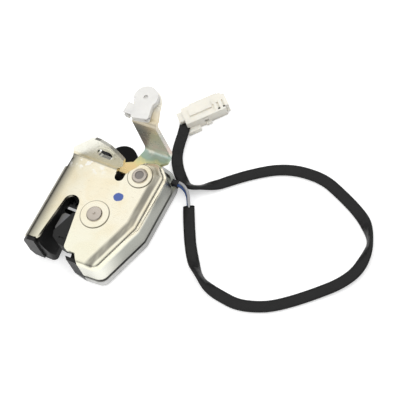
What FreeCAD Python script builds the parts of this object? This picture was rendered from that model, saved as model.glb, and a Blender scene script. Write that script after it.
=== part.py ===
"""Trunk lock: a rotary latch in a pressed steel case, with a release lever,
a rod clip, a courtesy lamp switch and its two-wire lead.

Lengths are in millimetres. The lock lies on its back plate. The origin is on
the axis of the closed striker, in the plane of the back plate's outer face.
+Z points out of the front plate, and -Y is the way the striker leaves.
"""
import FreeCAD, Part
import math
import os
import re
import Sketcher
from FreeCAD import Placement, Rotation, Vector

os.makedirs("parts", exist_ok=True)
doc = FreeCAD.newDocument("trunk_lock")
sheet = doc.addObject("Spreadsheet::Sheet", "Sizes")

SIZES = {
    # case
    "case_height": (26.0, "back face to front face"),
    "plate_wall": (2.3, "front plate sheet"),
    "back_wall": (2.0, "back plate sheet"),
    "rim_height": (6.6, "back plate rim"),
    "rim_gap": (0.7, "dark line between rim and flange"),
    "rim_step": (0.7, "rim stands outside the flange"),
    "fit_gap": (0.25, "moulding inside sheet metal"),
    "bend_outer": (4.5, "outer radius of the front bends"),
    "roll_outer": (7.0, "outer radius of the left side's bend"),
    "rim_bend": (2.6, "outer radius of the pan's bend"),
    # front plate outline
    "plate_left": (-18.2, "outer face of the left flange"),
    "roll_top": (20.4, "top end of the left flange"),
    "flat_left": (-14.7, "left edge of the flat above the flange"),
    "arm_bottom": (-27.4, "lower end of the plate beside the mouth"),
    "plate_top": (26.5, "start of the ear's bend"),
    "plate_right": (44.2, "outer face of the right flange"),
    "toe_x": (33.4, "lower right corner, x"),
    "toe_y": (-31.6, "lower right corner, y"),
    "foot_x": (21.0, "left end of the lower flange, x"),
    "foot_y": (-32.3, "left end of the lower flange, y"),
    "step_x": (18.0, "step beside the lower flange"),
    "shoulder_y": (35.5, "top of the straight right side"),
    "crown_x": (36.5, "upper right corner, x"),
    "crown_y": (43.2, "upper right corner, y"),
    "brow_x": (29.8, "left end of the crown, x"),
    "brow_y": (41.0, "left end of the crown, y"),
    "corner_round": (6.0, "corners seen from the front"),
    # striker slot
    "slot_round": (5.0, "closed end of the slot, radius"),
    "mouth_left": (-8.0, "slot mouth in the front plate, left"),
    "mouth_right": (10.2, "slot mouth, right"),
    "mouth_round": (3.0, "corners of the slot's mouth"),
    "guide_mouth": (-2.3, "slot mouth in the moulding's back, left"),
    # notch for the lever's tang
    "notch_x": (18.8, "notch centre, x"),
    "notch_y": (25.2, "notch centre, y"),
    "notch_round": (2.8, "notch half width"),
    "notch_lip": (28.2, "right side of the notch, top"),
    # ear
    "ear_lean": (25.0, "ear leans outward from upright, degrees"),
    "ear_bend": (2.5, "inner radius of the ear's bend"),
    "ear_rise": (15.8, "ear height along its slope"),
    "ear_hole_x": (8.1, "oblong hole centre, x"),
    "ear_hole_rise": (7.5, "oblong hole centre, up the slope"),
    "ear_hole_round": (2.6, "oblong hole end radius"),
    "ear_hole_reach": (2.5, "hole centre to each end's centre"),
    "ear_collar": (1.8, "width of the raised collar round the hole"),
    # pins
    "claw_x": (17.1, "claw pin, x"),
    "claw_y": (-1.6, "claw pin, y"),
    "pawl_x": (30.4, "pawl pin, x"),
    "pawl_y": (29.8, "pawl pin, y"),
    "pin_body": (5.0, "pin shoulder radius"),
    "pin_neck": (3.5, "pin radius in the plates"),
    "head_round": (4.75, "rivet head radius"),
    "head_rise": (1.3, "rivet head height"),
    "claw_pad_round": (8.7, "embossed ring round the claw pin"),
    "pawl_pad_round": (7.5, "embossed ring round the pawl pin"),
    "pad_rise": (0.5, "height of the embossed ring"),
    "run_gap": (0.05, "running fit on a pin, radial"),
    # moulding and mechanism levels
    "chamber_depth": (11.9, "front plate's inner face to the chamber's floor"),
    "claw_gap": (1.7, "claw's cover below the front plate"),
    "cover_wall": (1.5, "plastic over the claw's plate"),
    "seat_round": (4.8, "claw's mouth, radius"),
    "hub_round": (10.5, "claw's hub radius"),
    "tail_round": (13.0, "claw's tail radius"),
    "bush_wall": (1.0, "bush in the claw"),
    "pawl_wall": (5.5, "pawl's thickness"),
    "pawl_eye": (8.0, "pawl's eye radius"),
    "pawl_gap": (0.5, "pawl clears the claw's tail"),
    "pawl_tip": (3.2, "width of the pawl's tip"),
    # release lever
    "lever_wall": (2.5, "lever sheet"),
    "lever_gap": (0.3, "lever's foot below the front plate"),
    "lever_eye": (9.5, "lever's foot radius"),
    "lever_bend": (2.2, "inner radius of the lever's bends"),
    "lever_reach": (16.7, "pawl pin to the start of the lower bend"),
    "lever_left": (23.2, "lever's left edge"),
    "lever_right": (40.0, "lever's right edge"),
    "lever_high": (58.0, "top of the lever's end"),
    "eye_x": (27.0, "rod clip axis, x"),
    "eye_reach": (8.6, "end of the upper bend to the rod clip's axis"),
    "eye_round": (8.0, "lever's end radius"),
    "stud_round": (3.0, "hole for the clip's stud"),
    "clip_round": (7.1, "clip's disc radius"),
    "clip_rise": (4.2, "clip's thickness"),
    "rod_round": (1.5, "rod hole radius"),
    # lamp switch
    "dome_x": (12.2, "switch case, round end, x"),
    "dome_y": (37.9, "switch case, round end, y"),
    "dome_round": (9.0, "switch case, round end, radius"),
    "switch_bottom_y": (17.0, "lower end of the switch case"),
    "button_x": (8.0, "switch button, x"),
    "button_round": (1.4, "switch button radius"),
    "button_reach": (3.1, "button stands out of its case"),
    # fixing holes
    "fix_round": (2.5, "tapped hole radius"),
    "fix_rise": (5.0, "height of the drawn collar"),
    "fix_a_x": (-5.0, "upper tapped hole, x"),
    "fix_a_y": (18.0, "upper tapped hole, y"),
    "fix_b_x": (27.0, "lower tapped hole, x"),
    "fix_b_y": (-20.0, "lower tapped hole, y"),
    "collar_wall": (1.5, "wall of the drawn collar"),
    # moulding details
    "nose_low": (-28.4, "moulding's nose left of the mouth"),
    "nose_round": (5.2, "nose's left corner"),
    "nose_lip": (2.2, "thickness of the nose's cap below the front plate's end"),
    "block_low": (-31.3, "lower end of the moulding right of the mouth"),
    "channel_round": (5.2, "closed end of the channel, radius"),
    "guide_lip": (5.0, "height of the upright lip under the funnel"),
    # springs and washers
    "coil_round": (7.2, "claw spring's coil radius"),
    "coil_wire": (0.4, "claw spring's wire radius"),
    "pawl_coil_round": (6.2, "pawl spring's coil radius"),
    "washer_gap": (0.15, "washers clear of the pins"),
    "washer_round": (7.0, "washer's outer radius"),
    "flat_round": (2.7, "dark flat in the pawl pin's head"),
    # lead
    "grommet_left": (41.0, "grommet's left side"),
    "grommet_bottom": (38.8, "grommet's lower side"),
    "grommet_top": (42.4, "grommet's upper side"),
    "grommet_low": (4.9, "floor of the notch under the grommet"),
    "wire_round": (0.85, "wire radius"),
    "sleeve_round": (2.75, "sleeve radius"),
    "plug_x": (36.4, "connector centre, x"),
    "plug_y": (90.6, "connector centre, y"),
    "plug_turn": (47.5, "connector direction, degrees from +X"),
    "plug_length": (25.6, "connector length"),
    "plug_width": (12.4, "connector width"),
    "plug_height": (9.0, "connector height"),
    "way_y": (2.9, "connector's ways, from its middle"),
}
# Levels and places that follow from the sizes.
FOLLOWING = {
    "plate_under": ("case_height - plate_wall", "inner face of the front plate"),
    "lever_low": ("plate_under - lever_gap - lever_wall", "underside of the lever's foot"),
    "moulding_top": ("lever_low - 0.4", "top of the moulding"),
    "switch_top": ("lever_low - 0.5", "top of the switch case"),
    "pawl_high": ("lever_low - 0.9", "top of the pawl"),
    "pawl_low": ("pawl_high - pawl_wall", "underside of the pawl"),
    "chamber_floor": ("plate_under - chamber_depth", "floor of the mechanism chamber"),
    "claw_low": ("chamber_floor + 0.7", "underside of the claw's cover"),
    "claw_high": ("plate_under - claw_gap", "top of the claw's cover"),
    "core_low": ("claw_low + cover_wall", "underside of the claw's plate"),
    "core_high": ("claw_high - cover_wall", "top of the claw's plate"),
    "coil_floor": ("claw_high - 1.1", "floor of the spring's well"),
    "lever_turn": ("pawl_y + lever_reach", "start of the lever's lower bend, y"),
    "eye_y": ("lever_turn + 2 * lever_bend + lever_wall + eye_reach", "rod clip axis, y"),
    "rod_y": ("eye_y - 11.5", "rod hole, y"),
    "arm_side": ("plate_left + plate_wall + fit_gap", "left side of the moulding"),
}
ALIAS = re.compile(r"\b(" + "|".join([*SIZES, *FOLLOWING]) + r")\b")
for row, (alias, (content, note)) in enumerate([*SIZES.items(), *FOLLOWING.items()], start=1):
    sheet.set(f"A{row}", note)
    sheet.set(f"B{row}", f"={content}" if alias in FOLLOWING else str(content))
    sheet.setAlias(f"B{row}", alias)
doc.recompute()


def bound(text):
    """The expression with each size's name tied to its cell."""
    return ALIAS.sub(r"Sizes.\1", str(text))


def value(text):
    """The number that an expression of the sheet's sizes has."""
    found = sheet.evalExpression(bound(text))
    return float(found.Value) if hasattr(found, "Value") else float(found)


def settle(feature):
    """Recompute, and stop at a feature that can't be made."""
    doc.recompute()
    if "Invalid" in feature.State or "Error" in feature.State:
        raise RuntimeError(feature.Name + " can't be made")
    return feature


def spot(point):
    return tuple(value(part) for part in point)


def new_body(label):
    body = doc.addObject("PartDesign::Body", "Body_" + label)
    body.Label = label
    return body


def sketch_on(body, name, role="XY_Plane", lift="0"):
    """A sketch on one of the body's own planes, lifted along its normal."""
    sketch = body.newObject("Sketcher::SketchObject", name)
    plane = [item for item in body.Origin.OriginFeatures if item.Role == role][0]
    sketch.AttachmentSupport = [(plane, "")]
    sketch.MapMode = "FlatFace"
    sketch.setExpression("AttachmentOffset.Base.z", bound(lift))
    return sketch


def pin_point(sketch, shape, end, point):
    """Bind one point of a sketch to two expressions."""
    for kind, text in zip(("DistanceX", "DistanceY"), point):
        index = sketch.addConstraint(Sketcher.Constraint(kind, -1, 1, shape, end, value(text)))
        sketch.setExpression(f"Constraints[{index}]", bound(text))


def polygon(sketch, points):
    """A closed outline of straight sides through bound points."""
    places = [Vector(*spot(point), 0) for point in points]
    first = sketch.GeometryCount
    count = len(points)
    for index in range(count):
        sketch.addGeometry(Part.LineSegment(places[index], places[(index + 1) % count]), False)
    for index in range(count):
        after = first + (index + 1) % count
        sketch.addConstraint(Sketcher.Constraint("Coincident", first + index, 2, after, 1))
    for index, point in enumerate(points):
        pin_point(sketch, first + index, 1, point)


def circle(sketch, x, y, radius):
    """A circle with a bound centre and radius."""
    centre = Vector(value(x), value(y), 0)
    shape = sketch.addGeometry(Part.Circle(centre, Vector(0, 0, 1), value(radius)), False)
    pin_point(sketch, shape, 3, (x, y))
    index = sketch.addConstraint(Sketcher.Constraint("Radius", shape, value(radius)))
    sketch.setExpression(f"Constraints[{index}]", bound(radius))


def rectangle(sketch, low_x, low_y, high_x, high_y):
    polygon(sketch, [(low_x, low_y), (high_x, low_y), (high_x, high_y), (low_x, high_y)])


def pad(body, name, sketch, length, back=False):
    feature = body.newObject("PartDesign::Pad", name)
    feature.Profile = sketch
    feature.Reversed = back
    feature.setExpression("Length", bound(length))
    return settle(feature)


def cut(body, name, sketch, length, along=True):
    """A pocket along the sketch's normal, or against it; it has to remove material."""
    before = body.Shape.Volume
    feature = body.newObject("PartDesign::Pocket", name)
    feature.Profile = sketch
    feature.Reversed = along
    feature.setExpression("Length", bound(length))
    settle(feature)
    if not body.Shape.Volume < before:
        raise RuntimeError(name + " cuts nothing")
    return feature


def edge_names(shape, test):
    return [f"Edge{index}" for index, edge in enumerate(shape.Edges, start=1) if test(edge)]


def round_edges(body, name, radius, test):
    """A fillet on the edges of the body's last feature that pass the test."""
    base = body.Tip
    names = edge_names(base.Shape, test)
    if not names:
        raise RuntimeError(name + " finds no edge")
    feature = body.newObject("PartDesign::Fillet", name)
    feature.Base = (base, names)
    feature.setExpression("Radius", bound(radius))
    return settle(feature)


def upright(*points):
    """A test for upright edges that stand over one of the given points."""
    places = [spot(point) for point in points]

    def test(edge):
        low, high = edge.Vertexes[0].Point, edge.Vertexes[-1].Point
        if abs(low.z - high.z) < 0.5 or math.hypot(low.x - high.x, low.y - high.y) > 0.01:
            return False
        return any(math.hypot(low.x - x, low.y - y) < 0.05 for x, y in places)
    return test


def turned(label, x, y, profile):
    """A body turned about an upright axis; the profile is radius and height."""
    body = new_body(label)
    sketch = sketch_on(body, "profile_" + label, "XZ_Plane", f"-({y})")
    polygon(sketch, [(f"{x} + {radius}", height) for radius, height in profile])
    low = Vector(value(x), value(profile[0][1]), 0)
    line = sketch.addGeometry(Part.LineSegment(low, low + Vector(0, 10, 0)), True)
    pin_point(sketch, line, 1, (x, profile[0][1]))
    sketch.addConstraint(Sketcher.Constraint("Vertical", line))
    feature = body.newObject("PartDesign::Revolution", "turn_" + label)
    feature.Profile = sketch
    feature.ReferenceAxis = (sketch, ["Axis0"])
    feature.Angle = 360
    settle(feature)
    return body


def bend(body, name, left, right, low, high, centre, lift, angle, role="XZ_Plane"):
    """Sheet bent up about a line along X; low and high bound the sheet's section."""
    back = role == "XY_Plane"
    sketch = sketch_on(body, "section_" + name, role, lift if back else f"-({lift})")
    rectangle(sketch, left, low, right, high)
    start = Vector(value(left), value(centre), 0)
    line = sketch.addGeometry(Part.LineSegment(start, start + Vector(10, 0, 0)), True)
    pin_point(sketch, line, 1, (left, centre))
    sketch.addConstraint(Sketcher.Constraint("Horizontal", line))
    feature = body.newObject("PartDesign::Revolution", name)
    feature.Profile = sketch
    feature.ReferenceAxis = (sketch, ["Axis0"])
    feature.Reversed = back
    feature.setExpression("Angle", bound(angle))
    return settle(feature)


def slab(body, name, low, high, points):
    """Add an outline between two heights."""
    sketch = sketch_on(body, name, lift=low)
    polygon(sketch, points)
    return pad(body, name + "_pad", sketch, f"({high}) - ({low})")


def disc(body, name, low, high, x, y, radius):
    sketch = sketch_on(body, name, lift=low)
    circle(sketch, x, y, radius)
    return pad(body, name + "_pad", sketch, f"({high}) - ({low})")


def clear(body, name, low, high, points):
    """Cut an outline between two heights."""
    sketch = sketch_on(body, name, lift=low)
    polygon(sketch, points)
    return cut(body, name + "_cut", sketch, f"({high}) - ({low})")


def bore(body, name, low, high, x, y, radius):
    sketch = sketch_on(body, name, lift=low)
    circle(sketch, x, y, radius)
    return cut(body, name + "_cut", sketch, f"({high}) - ({low})")


def corners(low_x, low_y, high_x, high_y):
    """The four points of a rectangle."""
    return [(low_x, low_y), (high_x, low_y), (high_x, high_y), (low_x, high_y)]


def place(body, x, y, angle="0", z="0"):
    """Stand a body at a point of the frame, turned about Z."""
    body.Placement = Placement(Vector(value(x), value(y), value(z)),
                               Rotation(Vector(0, 0, 1), value(angle)))
    for axis, text in zip("xyz", (x, y, z)):
        body.setExpression("Placement.Base." + axis, bound(text))
    body.setExpression("Placement.Rotation.Angle", bound(angle))


# Front plate: a pressed tray with open sides, a slot, a notch and a bent ear.
plate = new_body("front_plate")
flange_bottom = "rim_height + rim_gap"
outline = sketch_on(plate, "plate_outline", lift=flange_bottom)
polygon(outline, [
    ("plate_left", "arm_bottom"),
    ("step_x", "arm_bottom"),
    ("foot_x", "foot_y"),
    ("toe_x", "toe_y"),
    ("plate_right", "0"),
    ("plate_right", "shoulder_y"),
    ("crown_x", "crown_y"),
    ("brow_x", "brow_y"),
    ("brow_x - 4.3", "brow_y - 7.6"),
    ("notch_x + notch_round", "notch_lip"),
    ("notch_x + notch_round", "notch_y"),
    ("notch_x - notch_round", "notch_y"),
    ("notch_x - notch_round", "plate_top"),
    ("plate_left", "plate_top"),
])
pad(plate, "plate_pad", outline, f"case_height - ({flange_bottom})")
round_edges(plate, "plate_corners", "corner_round", upright(
    ("toe_x", "toe_y"), ("plate_right", "0"), ("plate_right", "shoulder_y"), ("crown_x", "crown_y")))


def left_side(level, side):
    """A test for the edge at the left side's top."""
    def test(edge):
        box = edge.BoundBox
        return box.ZMin > value(level) - 0.01 and abs(box.XMax - value(side)) < 0.01
    return test


def right_side(level):
    """A test for the top edges from the foot round to the crown."""
    def test(edge):
        middle = edge.CenterOfMass
        if edge.BoundBox.ZMin < value(level) - 0.01 or middle.x < value("foot_x") + 1:
            return False
        return middle.y < 0 or middle.x > value("brow_x") + 1
    return test


round_edges(plate, "plate_bends", "bend_outer", right_side("case_height"))
round_edges(plate, "plate_roll", "roll_outer", left_side("case_height", "plate_left"))


def ahead(start, end):
    """The texts of the unit step from one point to the next."""
    step = [f"(({end[axis]}) - ({start[axis]}))" for axis in (0, 1)]
    length = f"sqrt({step[0]}^2 + {step[1]}^2)"
    return [f"{part} / {length}" for part in step]


def beside(point, start, end, distance):
    """The point moved to the left of the way from start to end."""
    right, up = ahead(start, end)
    return (f"{point[0]} - ({distance}) * {up}", f"{point[1]} + ({distance}) * {right}")


def inside_corner(before, corner, after, distance):
    """The corner of an outline set in from two of its sides."""
    first, second = ahead(before, corner), ahead(corner, after)
    scale = f"({distance}) / (1 + {first[0]} * {second[0]} + {first[1]} * {second[1]})"
    return (f"{corner[0]} - {scale} * ({first[1]} + {second[1]})",
            f"{corner[1]} + {scale} * ({first[0]} + {second[0]})")


def take_away(body, name, tool):
    """Cut one body from another."""
    before = body.Shape.Volume
    feature = body.newObject("PartDesign::Boolean", name)
    feature.Type = 1
    feature.setObjects([tool])
    settle(feature)
    if not body.Shape.Volume < before:
        raise RuntimeError(name + " cuts nothing")
    return feature


foot, toe, brow, crown = [(f"{name}_x", f"{name}_y") for name in ("foot", "toe", "brow", "crown")]
knee, shoulder = ("plate_right", "0"), ("plate_right", "shoulder_y")
plate_inside = [inside_corner(*three, "plate_wall") for three in (
    (foot, toe, knee), (toe, knee, shoulder), (knee, shoulder, crown), (shoulder, crown, brow))]
plate_core = new_body("plate_core_tool")
slab(plate_core, "plate_core_outline", "0", "plate_under", [
    ("plate_left + plate_wall", "arm_bottom - 20"),
    ("foot_x", "arm_bottom - 20"),
    beside(foot, foot, toe, "plate_wall"),
    *plate_inside,
    beside(brow, crown, brow, "plate_wall"),
    ("brow_x", "brow_y + 20"),
    ("plate_left - 10", "brow_y + 20"),
    ("plate_left - 10", "roll_top"),
    ("plate_left + plate_wall", "roll_top"),
])
round_edges(plate_core, "plate_core_corners", "corner_round - plate_wall", upright(*plate_inside))
round_edges(plate_core, "plate_core_bends", "bend_outer - plate_wall", right_side("plate_under"))
round_edges(plate_core, "plate_core_roll", "roll_outer - plate_wall",
            left_side("plate_under", "plate_left + plate_wall"))
take_away(plate, "plate_shell", plate_core)
clear(plate, "lever_gate", "0", "plate_under", [
    ("20", "36.5"), ("37.4", "36.5"), ("38.6", "40"), ("46", "46"), ("46", "54"), ("20", "54")])

flat_edge = sketch_on(plate, "flat_edge", lift="0")
rectangle(flat_edge, "plate_left - 5", "roll_top", "flat_left", "plate_top + 5")
cut(plate, "flat_edge_cut", flat_edge, "case_height + 5")

slot = sketch_on(plate, "striker_slot", lift="0")
polygon(slot, [
    ("-slot_round", "0"),
    ("mouth_left", "arm_bottom"),
    ("mouth_left", "arm_bottom - 1"),
    ("mouth_right", "arm_bottom - 1"),
    ("mouth_right", "arm_bottom"),
    ("slot_round", "0"),
])
cut(plate, "slot_cut", slot, "case_height + 5")
round_edges(plate, "mouth_corners", "mouth_round",
            upright(("mouth_left", "arm_bottom"), ("mouth_right", "arm_bottom")))
slot_end = sketch_on(plate, "slot_end", lift="0")
circle(slot_end, "0", "0", "slot_round")
cut(plate, "slot_end_cut", slot_end, "case_height + 5")
notch = sketch_on(plate, "notch", lift="0")
circle(notch, "notch_x", "notch_y", "notch_round")
cut(plate, "notch_cut", notch, "case_height + 5")

ear_left, ear_right = "flat_left + 0.4", "notch_x - notch_round - 0.3"
ear_centre = "case_height + ear_bend"
bend(plate, "ear_root", ear_left, ear_right, "plate_under", "case_height",
     ear_centre, "plate_top", "90 - ear_lean")
ear = plate.newObject("Sketcher::SketchObject", "ear_outline")


def on_ear(sketch):
    """Place a sketch on the ear's outer face, its Y up the slope from the end of the bend."""
    plane = [item for item in plate.Origin.OriginFeatures if item.Role == "XY_Plane"][0]
    sketch.AttachmentSupport = [(plane, "")]
    sketch.MapMode = "FlatFace"
    offset = sketch.AttachmentOffset
    offset.Rotation = Rotation(Vector(1, 0, 0), value("90 - ear_lean"))
    sketch.AttachmentOffset = offset
    sketch.setExpression("AttachmentOffset.Rotation.Angle", bound("90 - ear_lean"))
    far = "ear_bend + plate_wall"
    sketch.setExpression("AttachmentOffset.Base.y", bound(f"plate_top + ({far}) * cos(ear_lean)"))
    sketch.setExpression("AttachmentOffset.Base.z", bound(f"{ear_centre} - ({far}) * sin(ear_lean)"))


on_ear(ear)
polygon(ear, [
    (ear_left, "-0.01"),
    (ear_right, "-0.01"),
    ("ear_hole_x + 11.9", "ear_rise - 12.2"),
    ("ear_hole_x + 12.2", "ear_rise - 8.2"),
    ("ear_hole_x + 8.6", "ear_rise - 5.2"),
    ("ear_hole_x + 3.3", "ear_rise - 1.8"),
    ("ear_hole_x - 3.4", "ear_rise"),
    ("ear_hole_x - 6.8", "ear_rise"),
    ("ear_hole_x - 10.3", "ear_rise - 1.7"),
    ("flat_left + 0.6", "ear_rise - 12"),
])
pad(plate, "ear_pad", ear, "plate_wall")


def oblong_on_ear(name, radius):
    """A sketch of an oblong about the middle of the ear's hole."""
    sketch = plate.newObject("Sketcher::SketchObject", name)
    on_ear(sketch)
    reach, size = value("ear_hole_reach"), value(radius)
    middle = Vector(value("ear_hole_x"), value("ear_hole_rise"), 0)
    up = Vector(0, size, 0)
    left, right = middle - Vector(reach, 0, 0), middle + Vector(reach, 0, 0)
    normal = Vector(0, 0, 1)
    sketch.addGeometry(Part.ArcOfCircle(Part.Circle(left, normal, size), math.pi / 2, 1.5 * math.pi), False)
    sketch.addGeometry(Part.LineSegment(left - up, right - up), False)
    sketch.addGeometry(Part.ArcOfCircle(Part.Circle(right, normal, size), -math.pi / 2, math.pi / 2), False)
    sketch.addGeometry(Part.LineSegment(right + up, left + up), False)
    for shape in range(4):
        sketch.addConstraint(Sketcher.Constraint("Tangent", shape, 2, (shape + 1) % 4, 1))
    pin_point(sketch, 0, 3, ("ear_hole_x - ear_hole_reach", "ear_hole_rise"))
    pin_point(sketch, 2, 3, ("ear_hole_x + ear_hole_reach", "ear_hole_rise"))
    index = sketch.addConstraint(Sketcher.Constraint("Radius", 0, size))
    sketch.setExpression(f"Constraints[{index}]", bound(radius))
    return sketch


pad(plate, "ear_collar_pad", oblong_on_ear("ear_collar_edge", "ear_hole_round + ear_collar"),
    "plate_wall + 0.35")
cut(plate, "ear_hole_cut", oblong_on_ear("ear_hole", "ear_hole_round"), "plate_wall + 2")

for letter in ("claw", "pawl"):
    ring = sketch_on(plate, f"{letter}_ring", lift="case_height - 0.2")
    circle(ring, f"{letter}_x", f"{letter}_y", f"{letter}_pad_round")
    pad(plate, f"{letter}_ring_pad", ring, "pad_rise + 0.2")
    hole = sketch_on(plate, f"{letter}_hole", lift="0")
    circle(hole, f"{letter}_x", f"{letter}_y", "pin_neck")
    cut(plate, f"{letter}_hole_cut", hole, "case_height + 5")
clear(plate, "ring_trim", "plate_under", "case_height + pad_rise + 0.1", [
    ("notch_x + notch_round", "notch_y + 1"), ("notch_x + notch_round", "notch_lip"),
    ("brow_x - 4.3", "brow_y - 7.6"), ("brow_x", "brow_y"), ("brow_x - 7", "brow_y"),
    ("notch_x - notch_round + 1", "notch_lip + 3"), ("notch_x - notch_round + 1", "notch_y + 1")])

# Back plate: a shallow pan with its rim only at the right.
pan = new_body("back_plate")
pan_foot, pan_end = ("foot_x + 1", "foot_y - rim_step"), ("30", "48")
pan_toe, pan_crown = ("toe_x + 0.6", "toe_y - rim_step"), ("crown_x + 1.8", "crown_y + 3")
pan_knee = ("plate_right + rim_step", "0")
pan_shoulder = ("plate_right + rim_step", "shoulder_y + 3.8")
pan_chain = [pan_foot, pan_toe, pan_knee, pan_shoulder, pan_crown, pan_end]
slab(pan, "pan_outline", "0", "rim_height", [
    ("13.2", "-31.2"), *pan_chain, ("22", "44"), ("14", "28"), ("-13", "28"), ("-13", "9"),
    ("6.2", "9"), ("7.6", "0")])
round_edges(pan, "pan_corners", "corner_round", upright(pan_toe, pan_knee, pan_shoulder, pan_crown))


def pan_bend(edge):
    """The lower edges from the pan's foot round to its crown."""
    middle = edge.CenterOfMass
    if edge.BoundBox.ZMax > value("back_wall") + 0.01 or middle.x < value("foot_x") + 2:
        return False
    flat = edge.BoundBox.ZLength < 0.01
    return flat and (middle.y < -10 or middle.x > 32)


round_edges(pan, "pan_bends", "rim_bend", pan_bend)
pan_inside = [inside_corner(*three, "back_wall") for three in zip(pan_chain, pan_chain[1:], pan_chain[2:])]
pan_core = new_body("pan_core_tool")
slab(pan_core, "pan_core_outline", "back_wall", "rim_height + 1", [
    ("foot_x + 1", "-45"), beside(pan_foot, pan_foot, pan_toe, "back_wall"), *pan_inside,
    beside(pan_end, pan_crown, pan_end, "back_wall"), ("30", "60"), ("-30", "60"), ("-30", "-45")])
round_edges(pan_core, "pan_core_corners", "corner_round - back_wall", upright(*pan_inside))
round_edges(pan_core, "pan_core_bends", "rim_bend - back_wall", pan_bend)
take_away(pan, "pan_shell", pan_core)
clear(pan, "pan_lead_notch", "grommet_low", "rim_height + 1",
      corners("grommet_left", "grommet_bottom", "grommet_left + 9", "grommet_top"))
for letter in ("a", "b"):
    disc(pan, f"collar_{letter}", "0.5", "fix_rise", f"fix_{letter}_x", f"fix_{letter}_y",
         "fix_round + collar_wall")
    bore(pan, f"fix_hole_{letter}", "-1", "fix_rise + 1", f"fix_{letter}_x", f"fix_{letter}_y",
         "fix_round")
for letter in ("claw", "pawl"):
    bore(pan, f"pan_{letter}_hole", "-1", "rim_height", f"{letter}_x", f"{letter}_y", "pin_neck")

# Moulding: fills the case, guides the striker and holds the mechanism.
inner_right = "plate_right - plate_wall - fit_gap"
housing = new_body("housing")
slab(housing, "housing_outline", "back_wall", "moulding_top", [
    ("arm_side", "plate_top - 0.3"),
    ("arm_side", "nose_low"),
    ("10.9", "nose_low"),
    ("11.2", "block_low + 1.6"),
    ("12.8", "block_low"),
    ("20.8", "block_low"),
    ("20.8", "-29.7"),
    ("28.4", "-29.2"),
    ("31.8", "-26.4"),
    (inner_right, "0.4"),
    (inner_right, "shoulder_y - 1.2"),
    ("36.6", "38.6"),
    ("34.4", "38.2"),
    ("9", "38.2"),
    ("6", "41.6"),
    ("-2.4", "41.6"),
    ("-2.4", "plate_top - 0.3"),
])
slab(housing, "arm_front", "moulding_top - 0.5", "plate_under - fit_gap",
     corners("arm_side", "nose_low", "-5.6", "12"))
slab(housing, "arm_back", "0", "back_wall + 0.5", corners("arm_side", "nose_low", "0", "8.7"))
round_edges(housing, "nose_corner", "nose_round", upright(("arm_side", "nose_low")))
round_edges(housing, "arm_edge_round", "roll_outer - plate_wall",
            left_side("plate_under - fit_gap", "arm_side"))
nose_cap = sketch_on(housing, "nose_cap", "XZ_Plane", "-(arm_bottom - fit_gap)")
polygon(nose_cap, [
    ("plate_left + 2.6", "2.4"),
    ("plate_left + 0.4", "6.5"),
    ("plate_left + 0.4", "case_height - 7"),
    ("plate_left + 1.5", "case_height - 3.8"),
    ("plate_left + 3.8", "case_height - 1.6"),
    ("plate_left + 7", "case_height - 0.6"),
    ("mouth_left - 1", "case_height - 0.6"),
    ("mouth_left - 1", "2.4"),
])
pad(housing, "nose_cap_pad", nose_cap, "nose_lip")
clear(housing, "channel", "-1", "case_height", [
    ("-channel_round", "0"),
    ("guide_mouth", "nose_low"),
    ("guide_mouth", "block_low - 1"),
    ("mouth_right + 0.9", "block_low - 1"),
    ("channel_round", "0"),
])
round_edges(housing, "lip_corner", "2.8", upright(("guide_mouth", "nose_low")))
bore(housing, "channel_end", "-1", "case_height", "0", "0", "channel_round")
funnel_front = sketch_on(housing, "funnel_front", lift="plate_under")
polygon(funnel_front, [("-5", "0.5"), ("mouth_left - 0.2", "nose_low"), ("2", "nose_low"), ("-1", "0.5")])
funnel_back = sketch_on(housing, "funnel_back", lift="guide_lip")
polygon(funnel_back, [
    ("-5.2", "0.5"), ("guide_mouth - 0.1", "nose_low"), ("2", "nose_low"), ("-1", "0.5")])
funnel = housing.newObject("PartDesign::SubtractiveLoft", "funnel")
funnel.Profile = funnel_front
funnel.Sections = [funnel_back]
funnel.Ruled = True
settle(funnel)
clear(housing, "arm_window", "3", "chamber_floor + 6.2", corners("-13.6", "-3.4", "-4", "3.3"))
clear(housing, "arm_window_back", "-1", "chamber_floor + 1.2", corners("-13.6", "3.2", "-4", "5.7"))
clear(housing, "chamber", "chamber_floor", "moulding_top + 0.1", [
    ("-5.2", "12.2"), ("-5.2", "0.5"), ("0", "0"), ("5.6", "-29.2"), ("20.4", "-29.2"),
    ("24.5", "-27.7"), ("28", "-27.2"), ("30.4", "-24.8"), ("39.6", "0.7"), ("39.6", "33.4"),
    ("35.6", "37.2"),
    ("35", "41"), ("4.8", "41"), ("4.8", "16.8")])
bore(housing, "switch_bay", "chamber_floor", "moulding_top + 0.1", "dome_x", "dome_y",
     "dome_round + fit_gap")
for letter in ("claw", "pawl"):
    bore(housing, f"housing_{letter}_hole", "0", "chamber_floor + 1", f"{letter}_x", f"{letter}_y",
         "pin_neck + fit_gap")
for letter in ("a", "b"):
    bore(housing, f"housing_fix_{letter}", "0", "fix_rise + 4.5", f"fix_{letter}_x",
         f"fix_{letter}_y", "fix_round + collar_wall + fit_gap")
disc(housing, "spring_post", "chamber_floor - 0.5", "plate_under - fit_gap",
     "33.5", "-16.9", "1.1")

# Claw: a steel fork in a plastic cover, on a bush.
core_hook = [
    ("-4", "-6.8"), ("-2.6", "-5.4"), ("3.4", "-5.4"), ("9", "-4"), ("9", "-14"), ("3.4", "-20.4"),
    ("-1", "-18.6"), ("-4", "-15.6")]
tail_angles = [-20, -10, 0, 10, 20, 30, 40]
core_tail = [("claw_x", "claw_y")] + [
    (f"claw_x + tail_round * cos({angle})", f"claw_y + tail_round * sin({angle})")
    for angle in tail_angles]


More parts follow.
